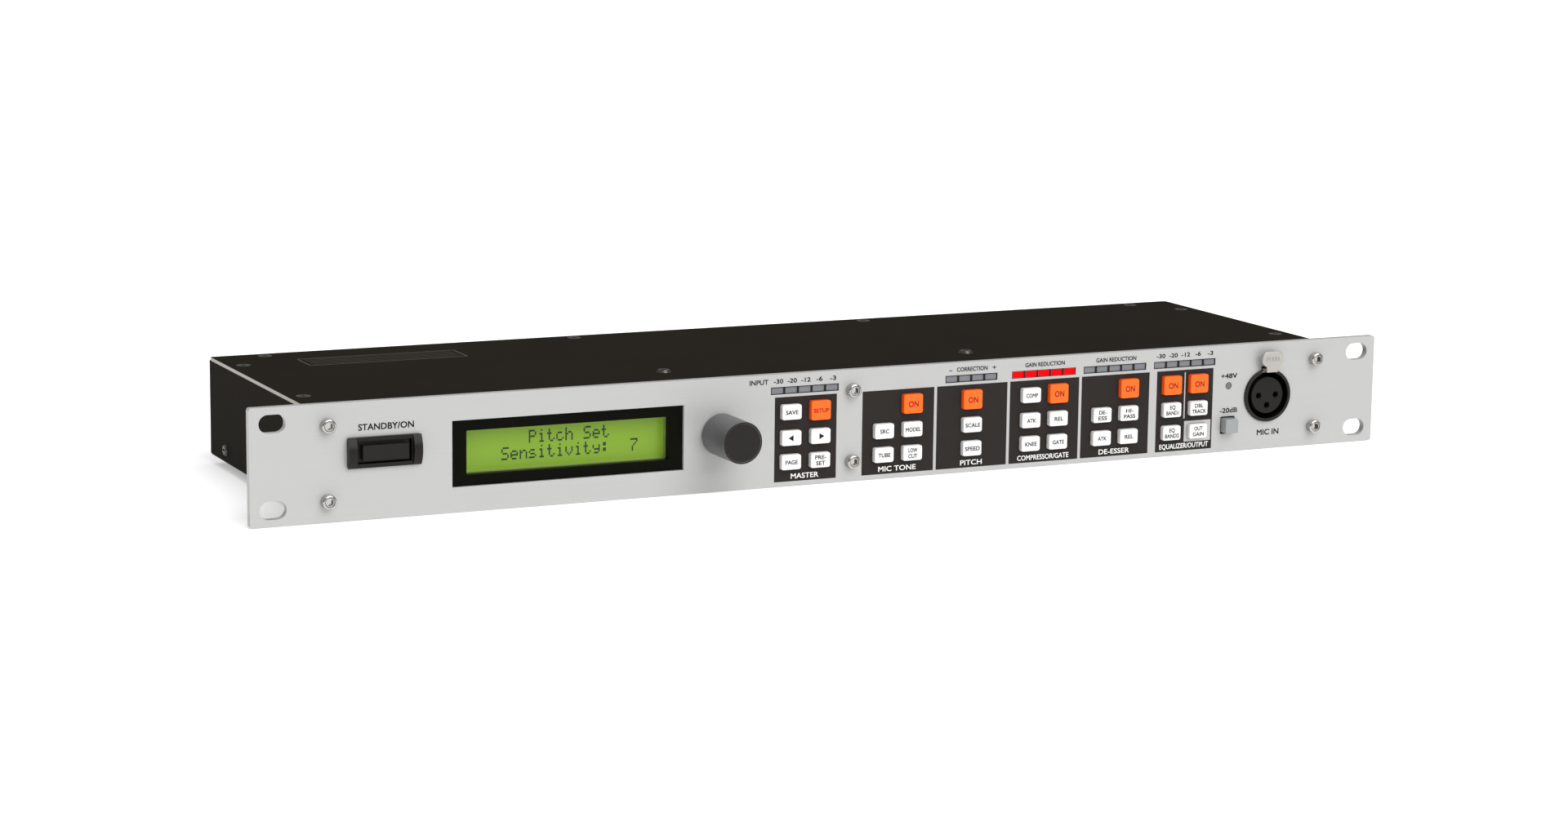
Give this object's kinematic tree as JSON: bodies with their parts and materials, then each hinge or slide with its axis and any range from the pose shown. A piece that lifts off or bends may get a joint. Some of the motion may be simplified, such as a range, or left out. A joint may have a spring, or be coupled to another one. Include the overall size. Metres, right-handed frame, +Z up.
{
  "type": "rack effects unit",
  "caption": "One-unit rack effects processor: brushed panel with display, data knob, lit keys, level meters and microphone socket, on a shallow black steel box.",
  "frame": {"origin": "centre of the four rack slots, on the panel's rear face, which bolts to the rack", "axes": "+X to the right along the panel, +Y back into the box, +Z up"},
  "size_m": [0.4826, 0.1502, 0.044],
  "materials": {
    "panel_aluminium": "brushed lengthwise",
    "bright_steel": "bright nickel",
    "dark_steel": "black oxide",
    "cover_black": "satin black",
    "black_plastic": "satin",
    "switch_plastic": "matte",
    "window_black": "glossy",
    "lcd_green": "backlit, satin",
    "module_metal": "plated",
    "knob_grey": "satin",
    "key_white": "smooth",
    "key_orange": "smooth, lit from behind",
    "segment_grey": "frosted",
    "segment_red": "frosted, lit",
    "lamp_grey": "frosted",
    "pad_grey": "smooth",
    "socket_black": "satin",
    "insert_black": "matte",
    "latch_nickel": "satin nickel",
    "board_green": "solder mask",
    "print_charcoal": "printed",
    "print_black": "printed",
    "print_white": "printed",
    "print_red": "printed"
  },
  "bodies": {
    "chassis": {"front_panel": "panel_aluminium", "panel_screws": "bright_steel", "power_bezel": "black_plastic", "power_switch": "switch_plastic", "display_window": "window_black", "lcd_cell": "lcd_green", "display_module": "module_metal", "encoder": "module_metal", "meter_housings": "black_plastic", "meter_segments": "segment_grey", "meter_segments_lit": "segment_red", "phantom_lamp": "lamp_grey", "mic_shell": "socket_black", "mic_insert": "insert_black", "top_cover": "cover_black", "cover_screws": "dark_steel", "chassis_tray": "cover_black", "rear_panel": "cover_black", "key_board": "board_green", "board_switches": "switch_plastic", "main_board": "board_green", "jack_sockets": "socket_black", "midi_sockets": "socket_black", "dc_inlet": "socket_black"},
    "power_button": {"power_button": "black_plastic"},
    "data_knob": {"data_knob": "knob_grey", "encoder_shaft": "bright_steel"},
    "pad_button": {"pad_button": "pad_grey"},
    "mic_latch": {"mic_latch": "latch_nickel"},
    "key_save": {"key_save": "key_white"},
    "key_setup": {"key_setup": "key_orange"},
    "key_left": {"key_left": "key_white"},
    "key_right": {"key_right": "key_white"},
    "key_page": {"key_page": "key_white"},
    "key_preset": {"key_preset": "key_white"},
    "key_mic_on": {"key_mic_on": "key_orange"},
    "key_mic_source": {"key_mic_source": "key_white"},
    "key_mic_model": {"key_mic_model": "key_white"},
    "key_mic_tube": {"key_mic_tube": "key_white"},
    "key_mic_low_cut": {"key_mic_low_cut": "key_white"},
    "key_pitch_on": {"key_pitch_on": "key_orange"},
    "key_pitch_scale": {"key_pitch_scale": "key_white"},
    "key_pitch_speed": {"key_pitch_speed": "key_white"},
    "key_comp": {"key_comp": "key_white"},
    "key_comp_on": {"key_comp_on": "key_orange"},
    "key_comp_attack": {"key_comp_attack": "key_white"},
    "key_comp_release": {"key_comp_release": "key_white"},
    "key_comp_knee": {"key_comp_knee": "key_white"},
    "key_gate": {"key_gate": "key_white"},
    "key_deess_on": {"key_deess_on": "key_orange"},
    "key_deess": {"key_deess": "key_white"},
    "key_high_pass": {"key_high_pass": "key_white"},
    "key_deess_attack": {"key_deess_attack": "key_white"},
    "key_deess_release": {"key_deess_release": "key_white"},
    "key_eq_on": {"key_eq_on": "key_orange"},
    "key_output_on": {"key_output_on": "key_orange"},
    "key_eq_band_1": {"key_eq_band_1": "key_white"},
    "key_double_track": {"key_double_track": "key_white"},
    "key_eq_band_2": {"key_eq_band_2": "key_white"},
    "key_out_gain": {"key_out_gain": "key_white"}
  },
  "joints": [
    {"name": "power_press", "type": "slide", "parent": "chassis", "child": "power_button", "axis": [0, 1, 0], "range_m": [0, 0.0015], "stiffness_N_per_m": 800},
    {"name": "knob_turn", "type": "hinge", "parent": "chassis", "child": "data_knob", "pos_m": [-0.0556, -0.013, 0.0003], "axis": [0, -1, 0], "continuous": true},
    {"name": "pad_press", "type": "slide", "parent": "chassis", "child": "pad_button", "axis": [0, 1, 0], "range_m": [0, 0.0025], "stiffness_N_per_m": 600},
    {"name": "latch_press", "type": "slide", "parent": "chassis", "child": "mic_latch", "axis": [0, 1, 0], "range_m": [0, 0.0015], "stiffness_N_per_m": 1500},
    {"name": "save_press", "type": "slide", "parent": "chassis", "child": "key_save", "axis": [0, 1, 0], "range_m": [0, 0.0006], "stiffness_N_per_m": 1000},
    {"name": "setup_press", "type": "slide", "parent": "chassis", "child": "key_setup", "axis": [0, 1, 0], "range_m": [0, 0.0006], "stiffness_N_per_m": 1000},
    {"name": "left_press", "type": "slide", "parent": "chassis", "child": "key_left", "axis": [0, 1, 0], "range_m": [0, 0.0006], "stiffness_N_per_m": 1000},
    {"name": "right_press", "type": "slide", "parent": "chassis", "child": "key_right", "axis": [0, 1, 0], "range_m": [0, 0.0006], "stiffness_N_per_m": 1000},
    {"name": "page_press", "type": "slide", "parent": "chassis", "child": "key_page", "axis": [0, 1, 0], "range_m": [0, 0.0006], "stiffness_N_per_m": 1000},
    {"name": "preset_press", "type": "slide", "parent": "chassis", "child": "key_preset", "axis": [0, 1, 0], "range_m": [0, 0.0006], "stiffness_N_per_m": 1000},
    {"name": "mic_on_press", "type": "slide", "parent": "chassis", "child": "key_mic_on", "axis": [0, 1, 0], "range_m": [0, 0.0006], "stiffness_N_per_m": 1000},
    {"name": "mic_source_press", "type": "slide", "parent": "chassis", "child": "key_mic_source", "axis": [0, 1, 0], "range_m": [0, 0.0006], "stiffness_N_per_m": 1000},
    {"name": "mic_model_press", "type": "slide", "parent": "chassis", "child": "key_mic_model", "axis": [0, 1, 0], "range_m": [0, 0.0006], "stiffness_N_per_m": 1000},
    {"name": "mic_tube_press", "type": "slide", "parent": "chassis", "child": "key_mic_tube", "axis": [0, 1, 0], "range_m": [0, 0.0006], "stiffness_N_per_m": 1000},
    {"name": "mic_low_cut_press", "type": "slide", "parent": "chassis", "child": "key_mic_low_cut", "axis": [0, 1, 0], "range_m": [0, 0.0006], "stiffness_N_per_m": 1000},
    {"name": "pitch_on_press", "type": "slide", "parent": "chassis", "child": "key_pitch_on", "axis": [0, 1, 0], "range_m": [0, 0.0006], "stiffness_N_per_m": 1000},
    {"name": "pitch_scale_press", "type": "slide", "parent": "chassis", "child": "key_pitch_scale", "axis": [0, 1, 0], "range_m": [0, 0.0006], "stiffness_N_per_m": 1000},
    {"name": "pitch_speed_press", "type": "slide", "parent": "chassis", "child": "key_pitch_speed", "axis": [0, 1, 0], "range_m": [0, 0.0006], "stiffness_N_per_m": 1000},
    {"name": "comp_press", "type": "slide", "parent": "chassis", "child": "key_comp", "axis": [0, 1, 0], "range_m": [0, 0.0006], "stiffness_N_per_m": 1000},
    {"name": "comp_on_press", "type": "slide", "parent": "chassis", "child": "key_comp_on", "axis": [0, 1, 0], "range_m": [0, 0.0006], "stiffness_N_per_m": 1000},
    {"name": "comp_attack_press", "type": "slide", "parent": "chassis", "child": "key_comp_attack", "axis": [0, 1, 0], "range_m": [0, 0.0006], "stiffness_N_per_m": 1000},
    {"name": "comp_release_press", "type": "slide", "parent": "chassis", "child": "key_comp_release", "axis": [0, 1, 0], "range_m": [0, 0.0006], "stiffness_N_per_m": 1000},
    {"name": "comp_knee_press", "type": "slide", "parent": "chassis", "child": "key_comp_knee", "axis": [0, 1, 0], "range_m": [0, 0.0006], "stiffness_N_per_m": 1000},
    {"name": "gate_press", "type": "slide", "parent": "chassis", "child": "key_gate", "axis": [0, 1, 0], "range_m": [0, 0.0006], "stiffness_N_per_m": 1000},
    {"name": "deess_on_press", "type": "slide", "parent": "chassis", "child": "key_deess_on", "axis": [0, 1, 0], "range_m": [0, 0.0006], "stiffness_N_per_m": 1000},
    {"name": "deess_press", "type": "slide", "parent": "chassis", "child": "key_deess", "axis": [0, 1, 0], "range_m": [0, 0.0006], "stiffness_N_per_m": 1000},
    {"name": "high_pass_press", "type": "slide", "parent": "chassis", "child": "key_high_pass", "axis": [0, 1, 0], "range_m": [0, 0.0006], "stiffness_N_per_m": 1000},
    {"name": "deess_attack_press", "type": "slide", "parent": "chassis", "child": "key_deess_attack", "axis": [0, 1, 0], "range_m": [0, 0.0006], "stiffness_N_per_m": 1000},
    {"name": "deess_release_press", "type": "slide", "parent": "chassis", "child": "key_deess_release", "axis": [0, 1, 0], "range_m": [0, 0.0006], "stiffness_N_per_m": 1000},
    {"name": "eq_on_press", "type": "slide", "parent": "chassis", "child": "key_eq_on", "axis": [0, 1, 0], "range_m": [0, 0.0006], "stiffness_N_per_m": 1000},
    {"name": "output_on_press", "type": "slide", "parent": "chassis", "child": "key_output_on", "axis": [0, 1, 0], "range_m": [0, 0.0006], "stiffness_N_per_m": 1000},
    {"name": "eq_band_1_press", "type": "slide", "parent": "chassis", "child": "key_eq_band_1", "axis": [0, 1, 0], "range_m": [0, 0.0006], "stiffness_N_per_m": 1000},
    {"name": "double_track_press", "type": "slide", "parent": "chassis", "child": "key_double_track", "axis": [0, 1, 0], "range_m": [0, 0.0006], "stiffness_N_per_m": 1000},
    {"name": "eq_band_2_press", "type": "slide", "parent": "chassis", "child": "key_eq_band_2", "axis": [0, 1, 0], "range_m": [0, 0.0006], "stiffness_N_per_m": 1000},
    {"name": "out_gain_press", "type": "slide", "parent": "chassis", "child": "key_out_gain", "axis": [0, 1, 0], "range_m": [0, 0.0006], "stiffness_N_per_m": 1000}
  ]
}
